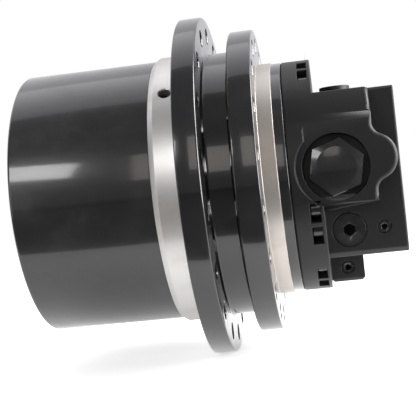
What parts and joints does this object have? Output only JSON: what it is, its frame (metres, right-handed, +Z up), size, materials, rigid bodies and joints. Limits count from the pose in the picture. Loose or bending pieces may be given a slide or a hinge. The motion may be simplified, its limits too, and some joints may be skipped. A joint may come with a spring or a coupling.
{
  "type": "excavator final drive",
  "caption": "Track drive with a turning gear case and sprocket flange on a fixed frame flange, planetary gears inside and a hydraulic motor with a cast rear cover.",
  "frame": {"origin": "centre of the frame flange's mounting face, on the drive axis", "axes": "+X along the drive axis from the gear case to the motor's rear cover, +Z up"},
  "size_m": [0.333, 0.315, 0.315],
  "materials": {
    "case_paint": "gloss black paint, with bare turned pilots",
    "cover_paint": "deep gloss black paint on cast iron",
    "screw_black": "black oxide",
    "gear_steel": "case hardened and ground",
    "bearing_steel": "ground bearing steel",
    "machined_steel": "turned steel",
    "bronze": "bearing bronze",
    "seal_rubber": "nitrile rubber",
    "friction_lining": "paper friction lining"
  },
  "bodies": {
    "frame_hub": {"frame_hub": "case_paint", "bearing_inner_rings": "bearing_steel", "bearing_nut": "bearing_steel", "hub_seal_ring": "machined_steel", "hub_seal_o_ring": "seal_rubber", "output_carrier": "gear_steel", "carrier_screws": "screw_black", "output_pins": "bearing_steel", "output_needles": "bearing_steel", "output_washers": "bronze", "shaft_seal": "seal_rubber", "shaft_bearing_outer": "bearing_steel", "swash_plate": "machined_steel", "brake_steel_plates": "machined_steel", "brake_spring": "machined_steel", "valve_plate": "bronze", "rear_cover": "cover_paint", "cover_screws": "screw_black", "cover_o_ring": "seal_rubber", "spool_plugs": "cover_paint", "speed_plugs": "cover_paint", "gallery_plugs": "screw_black", "spool_springs": "machined_steel"},
    "gear_case": {"sprocket_hub": "case_paint", "ring_gear_drum": "case_paint", "drum_lock_screw": "screw_black", "end_cover": "case_paint", "end_cover_screws": "screw_black", "end_cover_o_ring": "seal_rubber", "oil_plugs": "screw_black", "thrust_button": "machined_steel", "bearing_outer_rings": "bearing_steel", "case_seal_ring": "machined_steel", "case_seal_o_ring": "seal_rubber"},
    "input_carrier": {"input_carrier": "gear_steel", "output_sun": "gear_steel", "input_pins": "bearing_steel", "input_needles": "bearing_steel", "input_washers": "bronze"},
    "motor_rotor": {"drive_shaft": "gear_steel", "input_sun": "gear_steel", "shaft_bearing_inner": "bearing_steel", "cylinder_block": "machined_steel", "pistons": "machined_steel", "piston_shoes": "bronze", "shoe_retainer": "machined_steel", "retainer_ball": "machined_steel", "brake_friction_plates": "friction_lining"},
    "main_rollers": {"bearing_rollers": "bearing_steel"},
    "shaft_rollers": {"shaft_rollers": "bearing_steel"},
    "brake_piston": {"brake_piston": "machined_steel"},
    "counterbalance_spool": {"counterbalance_spool": "machined_steel"},
    "speed_spool": {"speed_spool": "machined_steel"},
    "input_planet_1": {"input_planet_1": "gear_steel"},
    "input_planet_2": {"input_planet_2": "gear_steel"},
    "input_planet_3": {"input_planet_3": "gear_steel"},
    "output_planet_1": {"output_planet_1": "gear_steel"},
    "output_planet_2": {"output_planet_2": "gear_steel"},
    "output_planet_3": {"output_planet_3": "gear_steel"},
    "output_planet_4": {"output_planet_4": "gear_steel"}
  },
  "joints": [
    {"name": "case_spin", "type": "hinge", "parent": "frame_hub", "child": "gear_case", "pos_m": [0, 0, 0], "axis": [1, 0, 0], "continuous": true},
    {"name": "carrier_spin", "type": "hinge", "parent": "frame_hub", "child": "input_carrier", "pos_m": [0, 0, 0], "axis": [1, 0, 0], "continuous": true},
    {"name": "rotor_spin", "type": "hinge", "parent": "frame_hub", "child": "motor_rotor", "pos_m": [0, 0, 0], "axis": [1, 0, 0], "continuous": true},
    {"name": "main_roller_orbit", "type": "hinge", "parent": "frame_hub", "child": "main_rollers", "pos_m": [0, 0, 0], "axis": [1, 0, 0], "continuous": true},
    {"name": "shaft_roller_orbit", "type": "hinge", "parent": "frame_hub", "child": "shaft_rollers", "pos_m": [0, 0, 0], "axis": [1, 0, 0], "continuous": true},
    {"name": "input_planet_1_spin", "type": "hinge", "parent": "input_carrier", "child": "input_planet_1", "pos_m": [-0.18, 0.06, 0], "axis": [1, 0, 0], "continuous": true},
    {"name": "input_planet_2_spin", "type": "hinge", "parent": "input_carrier", "child": "input_planet_2", "pos_m": [-0.18, -0.03, 0.05196], "axis": [1, 0, 0], "continuous": true},
    {"name": "input_planet_3_spin", "type": "hinge", "parent": "input_carrier", "child": "input_planet_3", "pos_m": [-0.18, -0.03, -0.05196], "axis": [1, 0, 0], "continuous": true},
    {"name": "output_planet_1_spin", "type": "hinge", "parent": "frame_hub", "child": "output_planet_1", "pos_m": [-0.13, 0.064, 0], "axis": [1, 0, 0], "continuous": true},
    {"name": "output_planet_2_spin", "type": "hinge", "parent": "frame_hub", "child": "output_planet_2", "pos_m": [-0.13, 0, 0.064], "axis": [1, 0, 0], "continuous": true},
    {"name": "output_planet_3_spin", "type": "hinge", "parent": "frame_hub", "child": "output_planet_3", "pos_m": [-0.13, -0.064, 0], "axis": [1, 0, 0], "continuous": true},
    {"name": "output_planet_4_spin", "type": "hinge", "parent": "frame_hub", "child": "output_planet_4", "pos_m": [-0.13, 0, -0.064], "axis": [1, 0, 0], "continuous": true},
    {"name": "brake_release", "type": "slide", "parent": "frame_hub", "child": "brake_piston", "axis": [1, 0, 0], "range_m": [0, 0.002], "stiffness_N_per_m": 20000, "deforming": ["brake_spring"]},
    {"name": "counterbalance_shift", "type": "slide", "parent": "frame_hub", "child": "counterbalance_spool", "axis": [0, 1, 0], "range_m": [-0.006, 0.006], "stiffness_N_per_m": 4000, "deforming": ["spool_springs"]},
    {"name": "speed_shift", "type": "slide", "parent": "frame_hub", "child": "speed_spool", "axis": [0, 1, 0], "range_m": [0, 0.006], "stiffness_N_per_m": 2500, "deforming": ["spool_springs"]}
  ],
  "couplings": [
    {"joint": "carrier_spin", "follows": "case_spin", "ratio": -3.5714},
    {"joint": "rotor_spin", "follows": "case_spin", "ratio": -26.429},
    {"joint": "main_roller_orbit", "follows": "case_spin", "ratio": 0.527},
    {"joint": "shaft_roller_orbit", "follows": "case_spin", "ratio": -11.726},
    {"joint": "input_planet_1_spin", "follows": "case_spin", "ratio": 11.429},
    {"joint": "input_planet_2_spin", "follows": "case_spin", "ratio": 11.429},
    {"joint": "input_planet_3_spin", "follows": "case_spin", "ratio": 11.429},
    {"joint": "output_planet_1_spin", "follows": "case_spin", "ratio": 2.7778},
    {"joint": "output_planet_2_spin", "follows": "case_spin", "ratio": 2.7778},
    {"joint": "output_planet_3_spin", "follows": "case_spin", "ratio": 2.7778},
    {"joint": "output_planet_4_spin", "follows": "case_spin", "ratio": 2.7778}
  ]
}
